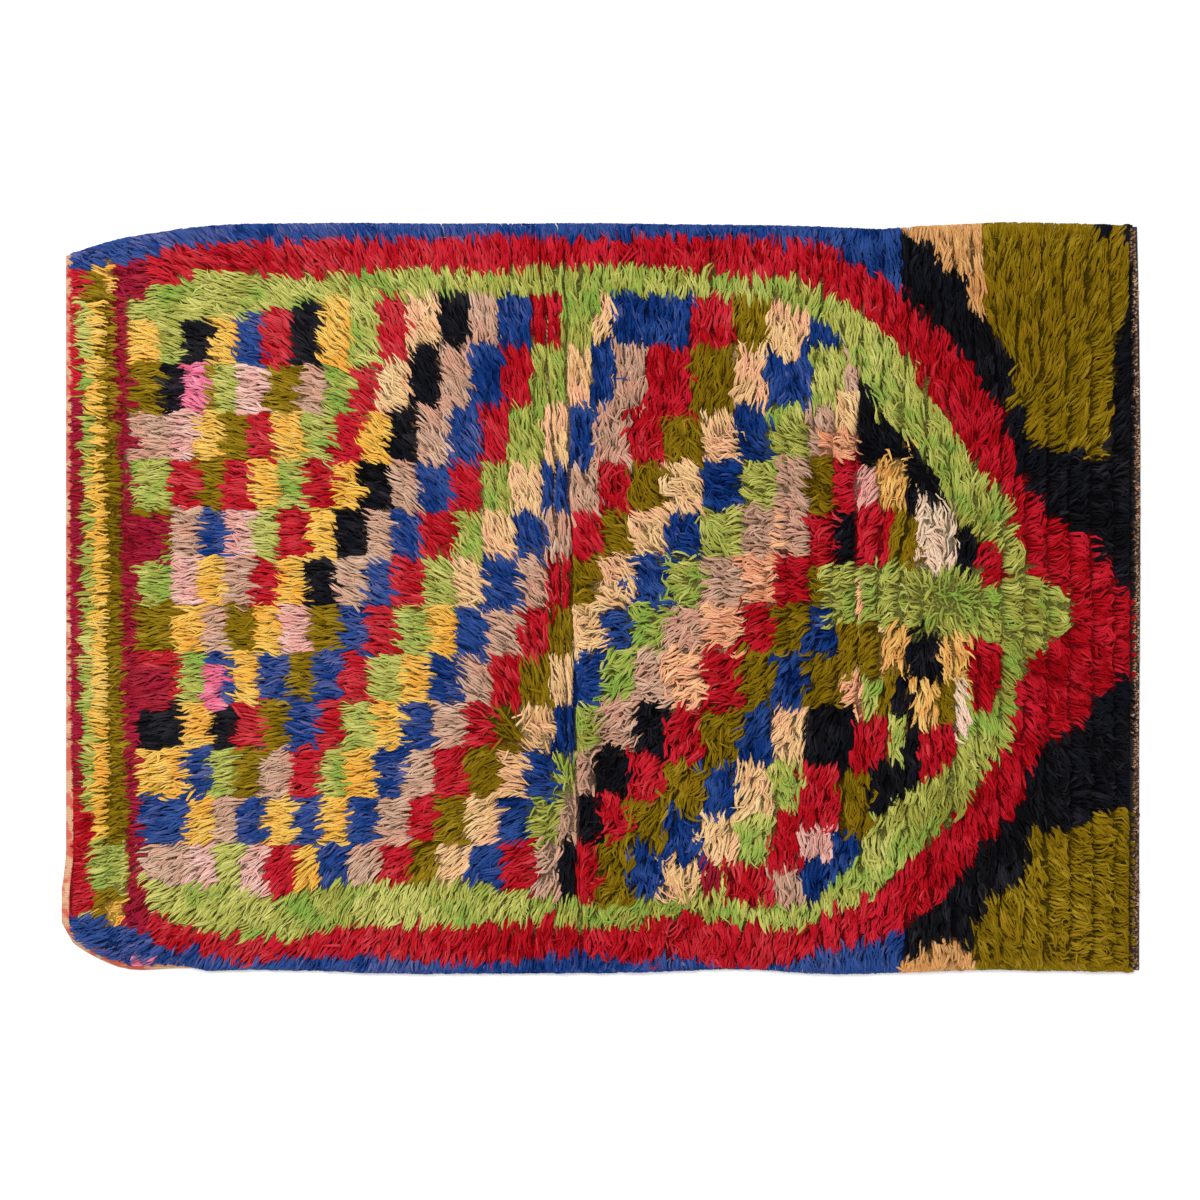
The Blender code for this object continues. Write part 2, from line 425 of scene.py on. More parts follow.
# How far each row's far edge lies higher right of the left part and lower right of the fold, how far each row
# slips to the right left of the fold, and where each of these begins and how long it takes
ROW_RISES = (0, 3.4, 1.8, 0.2, 0, 0.4, 0, 0, 0, 0, 0, 0)
ROW_DROPS = (0, 0, 0, 0, 0, 0, 0, 0, 1.8, 3.4, 3.7, 4.1)
ROW_SLIPS = (0.2, 0.5, 1.9, 2.1, 2.5, 2.5, 3.0, 3.5, 4.0, 4.2, 4.6, 5.0)
RISES_AT, DROPS_AT, SLIPS_AT = (-0.38, 0.10), (0.02, 0.14), (0.01, -0.10)
UNEVEN_COLUMNS = 0.003
# The order of the yarns from one slanting line to the next, the first of them on line 9
SLANTING_LINES = (
    GREEN, RED, YELLOW, BLACK, TAN, BLUE, RED, GREEN, CREAM, BLUE, TAN, RED, OLIVE, CREAM, BLUE, GREEN, TAN,
    PEACH, RED, OLIVE, BLUE, CREAM, GREEN, RED, ROSE, BLUE, GREEN,
)
FIRST_LINE = 9
# Where a slanting line turns to another yarn: the line, its first and last row there, and the yarn
TURNED_LINES = ((26, 9, 12, BLACK), (17, 7, 12, YELLOW), (11, 1, 2, CREAM), (24, 12, 12, RED))
# The slanting line with which the order begins on each row, from the far one to the near one
LINES_BEGIN = (9, 9, 9, 9, 9, 10, 14, 14, 14, 15, 17, 18)
# The basket of leftover yarns, in which some lie more than once
LEFTOVERS = (
    YELLOW, BLUE, GREEN, OLIVE, RED, BLACK, YELLOW, BLUE, GREEN, ROSE, RED, OLIVE, YELLOW, BLUE, GREEN, TAN,
)

# Blocks round the cross at the niche's head: the yarn, and the left, right, near and far edge
HEAD_BLOCKS = (
    (BLUE, 1.8, 14.4, 39.8, 50), (RED, 14.2, 20.8, 40.4, 48), (BLUE, -1.6, 2, 32.4, 42),
    (TAN, 2, 7.4, 30.8, 41.6), (RED, 7.2, 15, 29.6, 41), (OLIVE, 14.6, 20.4, 30.4, 41),
    (OLIVE, 46, 66, -24, 20), (GREEN, 59, 66, -24, -6), (CREAM, 27.9, 32, 39.4, 43),
    (TAN, 32.3, 38, 23.7, 31), (CREAM, 37.6, 41, 27.8, 33.4), (PEACH, 34.6, 41, 22.4, 27.4),
    (BLACK, 41, 44.4, 27, 35), (BLACK, 40.8, 49, 20.6, 30), (STRAW, 49, 51.2, 20.4, 25.6),
    (BLACK, 48.5, 56, 13, 24), (TAN, 27.5, 31.8, 7.5, 22.9), (OLIVE, 31.8, 36.8, 13.6, 22.6),
    (RED, 36.8, 41, 13.6, 22.8), (ROSE, 41, 43.4, 13.8, 20.6), (STRAW, 43.4, 48.6, 11.8, 22.4),
    (RED, 32, 37.2, 5, 14), (BLACK, 37.2, 40.8, 5, 14), (RED, 40.8, 46, 4.8, 14), (OLIVE, 46, 50, 5, 13),
    (IVORY, 50, 57, 4.8, 15.6), (BLACK, 56.6, 60, 3.6, 13), (RED, 60, 65.4, 2.4, 9.5),
    (BLUE, 32, 37.6, -9.6, -1.8), (OLIVE, 37.5, 44, -12.8, -4), (OLIVE, 31.8, 38.2, -18, -9.6),
    (STRAW, 44, 49.4, -13.4, -5.4), (BLACK, 48.8, 54.8, -14.4, -5), (STRAW, 54.6, 59.4, -14.2, -6),
    (RED, 59.4, 64.6, -18.8, -7), (PEACH, 38.2, 41.6, -19.4, -13), (GREEN, 41.4, 44.4, -19.6, -12.8),
    (OLIVE, 44, 48, -21.6, -13), (BLACK, 46.4, 49.1, -20, -13.4), (STRAW, 49.1, 54, -22.4, -13.8),
    (OLIVE, 54, 56.8, -21.6, -14), (IVORY, 56.8, 59.2, -23.8, -13.8), (BLACK, 32.3, 40.6, -29.4, -17.4),
    (RED, 40.2, 45.9, -29.2, -20.2), (GREEN, 45.8, 48.6, -27.4, -19.4), (BLACK, 48.4, 51, -33, -20.8),
    (RED, 51, 57, -31.4, -21.4), (BLACK, 43, 50.8, -35.2, -27.2), (OLIVE, 37.6, 43, -38.4, -28.8),
    (RED, 31.8, 37.8, -37.6, -27.4), (ROSE, 31.2, 36.8, -42.8, -37.2), (BLUE, 36.6, 40.4, -44.8, -38.4),
    (GREEN, 27.4, 31.6, -34.7, -27), (RED, 27, 31.6, -44.3, -34.6), (TAN, 26.7, 32, -50, -44.2),
    (BLUE, 31.8, 40, -48.6, -42.6), (RED, 19.6, 26.8, -51, -43),
)
# The green cross: its bar, its tip and its cross arm, with a thin strip of peach
CROSS_BLOCKS = (
    (GREEN, 34.7, 61.5, -4.6, 5.2), (GREEN, 59.4, 70, -6.6, 2.9), (GREEN, 69.5, 75.8, -4.2, 0.6),
    (GREEN, 50, 59.4, -6.2, 5.4), (GREEN, 64.4, 67, -10, -6), (PEACH, 40.5, 41.2, -4.0, 3),
)
# Single blocks of rare yarns in the check
RARE_BLOCKS = (
    (PINK, -67.5, -63.4, 30.2, 37.4), (PINK, -64.5, -61.0, -18.0, -10.2), (BURGUNDY, -76, -70.2, 5.6, 13.6),
    (BURGUNDY, -76, -69.4, -18.2, -10.6), (BURGUNDY, 15.8, 19, -48, -42.3),
)
# Where the left end's stripes stop short of its corners, and a few odd knots beyond them
CORNER_BLOCKS = (
    (BURGUNDY, -87, -83.8, -30, 32), (RED, -87, -81.6, -46, -34), (RED, -87, -82.4, 48.3, 54.2),
    (OLIVE, -83, -77.6, 47.4, 55), (YELLOW, -81.6, -79.8, 52, 55), (YELLOW, -80.6, -78.8, 50.4, 53.4),
    (YELLOW, -79.6, -78.2, 48.8, 51.4), (BURGUNDY, -78.4, -72.8, 47.6, 54.6), (RED, -87, -79.8, -50.4, -45),
    (GREEN, -82.2, -76.4, -47, -39), (OLIVE, -81.2, -77.8, -52.4, -46.6),
    (YELLOW, -79.8, -76.6, -53, -48.4), (BURGUNDY, -76.6, -72.6, -54, -46.6),
)
# Two pink tufts beside the round near left corner
RIM_BLOCKS = ((PINK, -75.0, -74.3, -60, -57.2), (PINK, -73.0, -72.3, -60, -57.2))


def edge(corners, x):
    """The height of a broken line at x, from its corners in centimetres."""
    xs, ys = zip(*corners)
    return np.interp(x, np.array(xs) * CM, np.array(ys) * CM)


def slanting_check(x, y):
    """The yarn of each block: the weaver moves each slanting line one column to the left on every row, and
    fills what lies before the first line with leftover yarns as they come, never one beside its like."""
    row = np.ones(x.shape, int)
    for place in range(1, CHECK_ROWS):
        rise = soft_step(x, *RISES_AT, ROW_RISES[place]) - soft_step(x, *DROPS_AT, ROW_DROPS[place])
        row += y < (CHECK_FAR - place * CHECK_ROW + rise) * CM
    slip = np.array(ROW_SLIPS)[row - 1] * CM * soft_step(x, *SLIPS_AT)
    step = np.arange(COLUMNS)
    starts = (CHECK_LEFT + FIRST_COLUMN * step + COLUMN_GROWTH * step * (step - 1) / 2) * CM
    weaver = np.random.default_rng(21)
    uneven = weaver.uniform(-UNEVEN_COLUMNS, UNEVEN_COLUMNS, (CHECK_ROWS + 1, COLUMNS))
    column = np.zeros(x.shape, int)
    for place in range(1, COLUMNS):
        column += x - slip > starts[place] + uneven[row, place]
    line = row + column
    ordered = np.array(SLANTING_LINES)[np.clip(line - FIRST_LINE, 0, len(SLANTING_LINES) - 1)]
    basket = np.array(LEFTOVERS)
    picks = weaver.integers(0, len(basket), (CHECK_ROWS + 1, COLUMNS))
    for place in range(1, CHECK_ROWS + 1):
        begins = LINES_BEGIN[place - 1]
        for one in range(begins - place):
            beside = {basket[picks[place - 1, one]], basket[picks[place, one - 1]]}
            if one == begins - place - 1:
                beside.add(SLANTING_LINES[begins - FIRST_LINE])
            while basket[picks[place, one]] in beside:
                picks[place, one] = (picks[place, one] + 1) % len(basket)
    for turned, first_row, last_row, yarn in TURNED_LINES:
        ordered = np.where((line == turned) & (row >= first_row) & (row <= last_row), yarn, ordered)
    begins = np.array(LINES_BEGIN)[row - 1]
    return np.where(line < begins, basket[picks[row, column]], ordered)


def lay_blocks(yarn, blocks, x, y):
    """The plan with each of these blocks laid over it, in their order."""
    for block, left, right, near, far in blocks:
        inside = (x > left * CM) & (x < right * CM) & (y > near * CM) & (y < far * CM)
        yarn = np.where(inside, block, yarn)
    return yarn


def planned_yarn(x, y):
    """The number of the yarn that shows at each point of the rug, laid out from the check outwards."""
    yarn = lay_blocks(slanting_check(x, y), RARE_BLOCKS + HEAD_BLOCKS, x, y)
    outside_field = (y > edge(FIELD_FAR, x)) | (y < edge(FIELD_NEAR, x)) | (x > FIELD_END)
    yarn = lay_blocks(np.where(outside_field, GREEN, yarn), CROSS_BLOCKS, x, y)
    outside_green = (y > edge(GREEN_FAR, x)) | (y < edge(GREEN_NEAR, x)) | (x > GREEN_END)
    yarn = np.where(outside_green, RED, yarn)
    lean = (WIDTH / 2 - y) / WIDTH
    stop = (END_STRIPES_STOP[0] + (END_STRIPES_STOP[1] - END_STRIPES_STOP[0]) * lean) * CM
    for stripe, far_start, near_start in END_STRIPES:
        start = (far_start + (near_start - far_start) * lean) * CM
        yarn = np.where((x > start) & (x < stop), stripe, yarn)
    yarn = lay_blocks(yarn, CORNER_BLOCKS, x, y)
    outside_red = (y > edge(RED_FAR, x)) | (y < edge(RED_NEAR, x))
    yarn = np.where(outside_red, np.where(x < BLUE_END, BLUE, BLACK), yarn)
    yarn = lay_blocks(yarn, RIM_BLOCKS, x, y)
    right_part = outside_red & (x > BLUE_END)
    camel = (y > edge(CAMEL_FAR, x)) & (x < CAMEL_FAR_END) | (y < edge(CAMEL_NEAR, x)) & (x < CAMEL_NEAR_END)
    yarn = np.where(right_part & camel, CAMEL, yarn)
    olive = (y > edge(OLIVE_FAR, x)) & (x > CAMEL_FAR_END) | (y < edge(OLIVE_NEAR, x)) & (x > CAMEL_NEAR_END)
    yarn = np.where(right_part & olive, OLIVE, yarn)
    black_corner = (x > BLACK_CORNER[0]) & (y > BLACK_CORNER[1])
    return np.where(black_corner & (np.abs(x - OLIVE_STRIP[0]) > OLIVE_STRIP[1]), BLACK, yarn)


# Pile
# Long, softly spun wool yarns, dyed in fifteen small lots and knotted row by row round pairs of warps.
# Their ends gather into locks and were brushed and trodden outwards, so each row lies over the next.

PILE_HEIGHT = 0.024
RIB_PITCH = 0.035
RIB_DEPTH = 0.0048
ROW_PAIR = 0.0080
ROW_WANDER, ROW_WANDER_SIZE = 0.003, 0.15
KNOT_PITCH = 0.0021
KNOT_JITTER = 0.0006
GOLDEN, STAGGER = 0.618, 0.0072
# Cloth without knots at the left end, at the right end and at the sides, and on either side of the parting
BARE_LEFT, BARE_RIGHT, BARE_SIDE, BARE_PARTING = 0.011, 0.014, 0.003, 0.0030
YARN_BREADTH = 0.0034
# A strand is one yarn, or two or three that cling together: its breadth, and the share of such strands
STRAND_BREADTHS = (0.0026, 0.0038, 0.0052)
STRAND_SHARES = (0.40, 0.40, 0.20)
YARN_LENGTH = 0.048
KNOTS_IN_LOCK = 6
LOCK_WANDER, LOCK_WANDER_SIZE = 4, 0.03
YARNS_APART = 0.0026
LOCK_BREADTH = 0.015
LOCK_DOME = 0.0016
LOCK_ROLL = 0.25
CRIMP = 0.0028
CRIMP_SIZE = 0.0075
# The close rows along the two sides: their pitch, how far inside they lie, and where the near one begins
EDGE_PITCH, EDGE_INSET, NEAR_EDGE_START = 0.0020, 0.005, -0.66
# How strongly a rib keeps its yarns to itself, and where that sets in
RIB_KEEPING, KEEPING_AT = 0.55, (0.02, 0.5)
# How much each thing differs from lock to lock, and then from yarn to yarn within a lock
TURN_SPREAD, LENGTH_SPREAD, REACH_SPREAD = (0.08, 0.05), (0.10, 0.045), (0.0006, 0.0004)
BEND_SPREAD, WAVE_SPREAD, LIFT_SPREAD = (0.28, 0.03), (0.0006, 0.0001), (0.12, 0.04)
FADING_SPREAD, BREADTH_SPREAD, PHASE_SPREAD = (0.10, 0.13), (0.0, 0.04), 0.15
# How much more the yarns turn, bend and wave where they curl, and how much less they do at the sides
CURLY_TURN, CURLY_BEND, CURLY_WAVE, SIDE_STEADINESS = 1.5, 1.2, 1.4, 0.4
# One yarn in fifty strays, by a turn and a lift
STRAYS, STRAY_TURN, STRAY_LIFT = 0.02, 0.5, 0.10
# Where the lay parts by so much or more, the yarns turn either way, and at the sides they turn outwards
LAY_PARTS, EITHER_TURN, OUTWARDS = (12, 25), 0.9, 0.9
# The pile of the trodden valley is worn short between these steps
WORN, WORN_FROM, WORN_TO = 0.35, (-0.785, 0.03), (-0.715, -0.02)
# How much shorter the outer yarns of a lock are, and those whose roots lie ahead of its middle
OUTER_LOSS, AHEAD_LOSS = 0.14, 0.6
# A yarn with less room than this is cut off, and none is pressed to less than this share of its length
SHORTEST, LEAST_SHARE = 0.004, 0.25
# The waves of a yarn: the smallest, and the turns from its root to its tip, straight and with the curls
LEAST_WAVE, WAVE_TURNS = 0.0005, (7.5, 2.0)
# How its heading turns from stretch to stretch, as shares of its bend
BEND_STEP, BEND_START = 0.7, -0.4
# How far the tips of a lock draw together, straight and with the curls, where along them and how far inside
TIPS_TOGETHER, TIPS_AT, TIPS_INSIDE = (0.15, 0.25), (0.6, 0.4), 0.05
# How a yarn lies: the shares of its length between its points, each stretch's slope in degrees, and its
# breadth at each point but the last
STRETCHES = (0.54, 0.26, 0.18)
SLOPES = (46, 6, -8)
BREADTHS = (0.7, 1.0, 0.75)
# Where along a yarn its colour shows, and the height that no yarn passes
SHOWN, TALLEST = 0.87, 0.043
RIM_HEIGHT = 0.011
RIM_RUN = 0.030
# How far the pile lies out past the cloth's two long sides, from left to right in centimetres
FAR_REACH = (
    (-86, 0), (-83, 0.1), (-77, 0.8), (-70.6, 0.8), (-64, 1.05), (-51, 1.2), (-38, 1.5), (-19, 1.65),
    (0, 1.5), (12, 1.05), (32, 0.9), (45, 0.6), (51, 1.2), (64, 1.8), (70, 1.65), (77, 1.35), (82.5, 1.0),
    (84.5, 0.2),
)
NEAR_REACH = (
    (-86, -0.8), (-78, -0.8), (-70, -0.7), (-66, -0.4), (-63, 0.3), (-58, 0.45), (-45, 0.55), (-38, 0.9),
    (-29, 1.2), (-14, 1.4), (0, 1.35), (9, 1.0), (19, 0.4), (25, 0.4), (32, 0.9), (38, 1.2), (50, 0.95),
    (64, 0.7), (70, 1.0), (82.5, 1.0), (84.5, 0.2),
)
# How much of a yarn may hang down over a side, at the near side only right of the round corner
HANGING, HANGING_AT = 0.016, (-0.70, 0.12)
HANGING_DROP, HANGING_RUN = 0.93, 0.007
# How far ahead a yarn looks for the side, and how far inside the two ends its tip stays
LOOK_AHEAD = 0.022
ROOM_RIGHT, ROOM_LEFT, ROOM_CORNER = 0.011, 0.007, (-0.20, -0.2, 0.006)
# The puffed left end and the trodden valley beside it: middle, spread and height
RIDGE = (-0.802, 0.018, 0.010)
VALLEY = (-0.755, 0.016, 0.009)
# Slow lumps of the pile and wavers of its lay: share, size and seed of each. The lay's grow with the curls
LUMPS = ((0.004, 0.20, 31), (0.003, 0.07, 32))
LAY_WAVERS = ((1.0, 0.05, 41), (0.6, 0.022, 42))
STRAIGHT_WAVER, CURLY_WAVER = 0.15, 0.34
# Where the ribs and the curls set in, and where the curls calm down towards the far side and the right
RIBS_AT, CURLS_AT = (-0.1, 0.3), (-0.07, 0.10)
CALM_FAR, CALM_RIGHT = (0.22, 0.15, 0.6), (0.13, 0.08, 0.4)
PARTING_FAR_X, PARTING_NEAR_X = -0.059, -0.030
PARTING_WAVERS = ((0.0016, 0.031), (0.0011, 0.0137))
PARTING_DEPTH, PARTING_SPREAD = 0.006, 0.006
# The two grooves of the fold: how far each lies from the parting, how much farther for each metre towards the
# far side, and half its breadth
GROOVES = ((0.0, 0.0, 0.0010), (-0.0185, -0.033, 0.0008))
GROOVE_REACH, GROOVE_END, PUSH, PUSHED_WITHIN = 0.06, 0.545, 0.004, 0.02
CROSS_HEART = (0.55, 0.0)
CROSS_BURST, CROSS_FADE, CROSS_EYE = 0.095, 0.03, 0.01
# How far from the parting the pile lies along it, on the left and on the right, and where it turns from up to
# down
PARTED_LEFT, PARTED_RIGHT = (-0.056, 0.032), (0.022, -0.014)
TURN_Y, TURN_RUN, TURN_WAVER, TURN_WAVER_SIZE = -0.30, 0.09, 0.8, 0.02
TURN_LEFTWARDS, UPRIGHT_LEFTWARDS = 0.55, 0.40
# How the pile was brushed: a place in centimetres, and the angle there in degrees, anticlockwise from right
STROKES = (
    (-82, 50, 165), (-83, 20, 180), (-83, -20, 180), (-82, -46, 190), (-78, 56, 150), (-64, 57, 142),
    (-48, 56, 125), (-33, 56, 108), (-18, 56, 97), (0, 57, 91), (-72, 47, 170), (-58, 47, 155),
    (-45, 44, 142), (-32, 44, 125), (-18, 44, 104), (-70, 30, 180), (-54, 32, 175), (-42, 30, 164),
    (-31, 29, 142), (-22, 30, 122), (-12, 31, 102), (-68, 8, 183), (-48, 12, 178), (-34, 12, 160),
    (-24, 12, 136), (-13, 14, 112), (-68, -14, 186), (-46, -10, 181), (-28, -8, 170), (-14, -6, 146),
    (-9, -10, 110), (-9, -18, 98), (-9, -27, 150), (-68, -34, 190), (-48, -32, 188), (-30, -30, 190),
    (-17, -27, 212), (-12, -38, 210), (-72, -48, 212), (-58, -50, 230), (-42, -50, 242), (-24, -50, 252),
    (-8, -52, 262), (-76, -56, 205), (-62, -57, 238), (5, 44, 88), (5, 22, 90), (8, 6, 135), (14, 30, 84),
    (22, 32, 80), (14, 14, 128), (24, 18, 176), (36, 18, 176), (20, 0, 184), (36, 4, 178), (30, 46, 88),
    (40, 34, 105), (52, 38, 100), (52, 28, 118), (60, 54, 90), (64, 36, 92), (72, 46, 75), (82, 54, 55),
    (82, 38, 25), (70, 28, 40), (60, 18, 80), (72, 18, 15), (82, 16, 5), (72, 4, 0), (82, 0, 0),
    (46, 16, 250), (5, -10, 215), (22, -10, 205), (38, -10, 215), (50, -18, 262), (5, -28, 255),
    (18, -26, 248), (32, -26, 262), (46, -28, 264), (58, -20, 285), (68, -14, 325), (80, -14, 352),
    (10, -52, 266), (30, -52, 266), (46, -46, 262), (56, -40, 270), (66, -34, 292), (78, -32, 350),
    (64, -52, 298), (76, -48, 350), (52, -58, 268),
)
STROKE_SIZE = 0.03
# How faded the dye is, from 0 to 1: its mean, its wavers, and the paler left part
FADED, FADING_WAVER, FADED_LEFT = 0.5, 0.16, (-0.12, -0.2, 0.17)
# The niche's head is the most saturated, the green more than the red, and green fades right of the fold
HEAD_AT, GREEN_AT_HEAD, RED_AT_HEAD, FADED_GREEN = (0.42, 0.15), 0.26, 0.22, (0.15, 0.1, 0.14)
# The blue of the long sides is paler than that of the check, which is darkest at the right
BLUE_SIDE_Y, FADED_BLUE_SIDE, FADED_BLUE, DARK_BLUE = 0.53, 0.02, -0.06, (0.05, 0.2, 0.08)
# The map of a strand: the tones of a dye, one unit of the map each, and the breadth of one yarn on it
TONES, YARN_ON_MAP, WIDEST_ON_MAP = 60, 0.28, 0.45


def parting_x(y):
    """Where the fold's parting runs: a line that leans to the right towards the near side, plus two sines."""
    waver = sum(height * np.sin(y / run) for height, run in PARTING_WAVERS)
    return PARTING_NEAR_X + (PARTING_FAR_X - PARTING_NEAR_X) * (y + WIDTH / 2) / WIDTH + waver


def wavers(x, y, parts):
    """Several slow wavers in one: the sum of each one's share times its drift."""
    return sum(part * drift(x, y, size, seed) for part, size, seed in parts)


def pile_height(x, y):
    """Height of the pile: its mean, plus a bell at the ridge, less one at the valley and one at the parting,
    plus slow lumps and one rib for each second row of knots, all drawn down to the rim at the sides."""
    parting = bell(x, parting_x(y), PARTING_SPREAD, PARTING_DEPTH)
    rib = -RIB_DEPTH / 2 * np.cos(math.tau * x / RIB_PITCH) * soft_step(x, *RIBS_AT)
    height = PILE_HEIGHT + bell(x, *RIDGE) - bell(x, *VALLEY) - parting + wavers(x, y, LUMPS) + rib
    inside = np.minimum.reduce([y - near_side(x), far_side(x) - y, x - left_end(y), right_end(y) - x])
    return RIM_HEIGHT + (height - RIM_HEIGHT) * smooth(inside / RIM_RUN)


def curliness(x, y):
    """How curly the pile is, from 0 to 1: matted straight over the left half, in loose curls right of the
    fold, and in slow waves beyond them and towards the far side. A product of three soft steps."""
    return soft_step(x, *CURLS_AT) * (1 - soft_step(y, *CALM_FAR)) * (1 - soft_step(x, *CALM_RIGHT))


def lay_direction(x, y):
    """The angle in which the pile lies: every stroke's own direction, weighted by one over the fourth power
    of its distance, then straight up and down beside the parting, and outwards round the cross's heart."""
    heading_x, heading_y = np.zeros_like(x), np.zeros_like(x)
    for stroke_x, stroke_y, degrees in STROKES:
        apart = (x - stroke_x * CM) ** 2 + (y - stroke_y * CM) ** 2
        weight = (apart + STROKE_SIZE ** 2) ** -2.0
        heading_x = heading_x + weight * math.cos(math.radians(degrees))
        heading_y = heading_y + weight * math.sin(math.radians(degrees))
    size = np.hypot(heading_x, heading_y)
    heading_x, heading_y = heading_x / size, heading_y / size
    reach = np.hypot(x - CROSS_HEART[0], y - CROSS_HEART[1])
    burst = soft_step(reach, CROSS_BURST, -CROSS_FADE)
    heading_x = heading_x * (1 - burst) + burst * (x - CROSS_HEART[0]) / (reach + CROSS_EYE)
    heading_y = heading_y * (1 - burst) + burst * (y - CROSS_HEART[1]) / (reach + CROSS_EYE)
    beyond = x - parting_x(y)
    parted = np.where(beyond > 0, soft_step(beyond, *PARTED_RIGHT), soft_step(beyond, *PARTED_LEFT))
    up_or_down = (y - TURN_Y) / TURN_RUN + TURN_WAVER * drift(x, y, TURN_WAVER_SIZE, 45)
    up_or_down = np.clip(up_or_down, -1, 1)
    leftwards = TURN_LEFTWARDS - UPRIGHT_LEFTWARDS * np.abs(up_or_down)
    heading_x = heading_x * (1 - parted) - leftwards * parted
    heading_y = heading_y * (1 - parted) + parted * up_or_down
    waver = (STRAIGHT_WAVER + CURLY_WAVER * curliness(x, y)) * wavers(x, y, LAY_WAVERS)
    return np.arctan2(heading_y, heading_x) + waver


def parting_of_lay(x, y):
    """How sharply the lay parts at a point: the divergence of its direction, by differences over 4 mm."""
    step = 0.004
    east = np.cos(lay_direction(x + step, y)) - np.cos(lay_direction(x - step, y))
    north = np.sin(lay_direction(x, y + step)) - np.sin(lay_direction(x, y - step))
    return (east + north) / (2 * step)


def far_rim(x):
    """Where the pile ends beyond the far long side: the side plus its reach."""
    return far_side(x) + edge(FAR_REACH, x)


def near_rim(x):
    """Where the pile ends beyond the near long side: the side less its reach."""
    return near_side(x) - edge(NEAR_REACH, x)


def room(x, y, heading, hanging):
    """How far a yarn may reach from its root in its direction before it passes the rug's edge, of which this
    much may hang down over the long sides."""
    east, north = np.cos(heading), np.sin(heading)
    ahead_x = x + LOOK_AHEAD * east
    over_near_side = soft_step(x, *HANGING_AT, hanging)
    far = (far_rim(ahead_x) + hanging - y) / np.maximum(north, 1e-3)
    near = (y - near_rim(ahead_x) + over_near_side) / np.maximum(-north, 1e-3)
    right = (right_end(y) - ROOM_RIGHT - x) / np.maximum(east, 1e-3)
    left = (x - left_end(y) - ROOM_LEFT - soft_step(y, *ROOM_CORNER)) / np.maximum(-east, 1e-3)
    return np.minimum.reduce([far, near, right, left])


hand = np.random.default_rng(7)
ribs = (np.arange(-25, 25) + 0.5) * RIB_PITCH
row_lines = np.sort(np.concatenate([ribs - ROW_PAIR, ribs + ROW_PAIR]))
knot_lines = np.arange(-WIDTH / 2 + BARE_SIDE, WIDTH / 2 - BARE_SIDE, KNOT_PITCH)
root_x, root_y = np.meshgrid(row_lines, knot_lines, indexing="ij")
row_wander = ROW_WANDER * drift(root_x, root_y, ROW_WANDER_SIZE, 43)
rib_x = np.repeat(ribs, 2)[:, None] + row_wander
root_x = root_x + row_wander
# Some six neighbours in a row make a lock
turn_in_row = np.arange(len(knot_lines))[None, :] + hand.uniform(0, KNOTS_IN_LOCK, (len(row_lines), 1))
turn_in_row = turn_in_row + LOCK_WANDER * drift(root_x, root_y, LOCK_WANDER_SIZE, 44)
lock_in_row = np.floor(turn_in_row / KNOTS_IN_LOCK)
lock_in_row = lock_in_row + 1000 * np.arange(len(row_lines))[:, None]
# Within a row the knots step to and fro by the golden section, so that no two beside each other line up
stagger = np.arange(len(knot_lines))[None, :] * GOLDEN + hand.random((len(row_lines), 1))
root_x = root_x + STAGGER * (2 * (stagger % 1) - 1) + hand.uniform(-KNOT_JITTER, KNOT_JITTER, root_x.shape)
root_y = root_y + hand.uniform(-KNOT_JITTER, KNOT_JITTER, root_x.shape)
from_parting = root_x - parting_x(root_y)
root_x = root_x + np.sign(from_parting) * np.maximum(BARE_PARTING - np.abs(from_parting), 0)
inside = (root_x > left_end(root_y) + BARE_LEFT) & (root_x < right_end(root_y) - BARE_RIGHT)
inside &= (root_y > near_side(root_x) + BARE_SIDE) & (root_y < far_side(root_x) - BARE_SIDE)
# One more close row runs along each long side
far_edge_x = np.arange(-LENGTH / 2 + BARE_RIGHT, LENGTH / 2 - BARE_RIGHT, EDGE_PITCH)
near_edge_x = far_edge_x[far_edge_x > NEAR_EDGE_START]
edge_x = np.concatenate([far_edge_x, near_edge_x])
edge_y = np.concatenate([far_side(far_edge_x) - EDGE_INSET, near_side(near_edge_x) + EDGE_INSET])
turn_on_edge = np.concatenate([np.arange(len(far_edge_x)), 1e5 + np.arange(len(near_edge_x))])
edge_lock = 1e6 + turn_on_edge // KNOTS_IN_LOCK
root_x = np.concatenate([root_x[inside], edge_x])
root_y = np.concatenate([root_y[inside], edge_y])
rib_x = np.concatenate([rib_x[inside], edge_x])
lock = np.unique(np.concatenate([lock_in_row[inside], edge_lock]), return_inverse=True)[1]
locks = lock.max() + 1
members = np.bincount(lock)
middle_x = (np.bincount(lock, root_x) / members)[lock]
middle_y = (np.bincount(lock, root_y) / members)[lock]
count = len(root_x)
curl = curliness(root_x, root_y)


def of_lock(spread_of_locks, spread_within):
    """One random number a knot: its lock's share, which its neighbours have too, plus its own."""
    return hand.normal(0, spread_of_locks, locks)[lock] + hand.normal(0, spread_within, count)


at_side = np.arange(count) >= inside.sum()
astray = of_lock(*TURN_SPREAD) * np.where(at_side, SIDE_STEADINESS, 1 + CURLY_TURN * curl)
brushed = lay_direction(middle_x, middle_y) + astray
strays = hand.random(count) < STRAYS
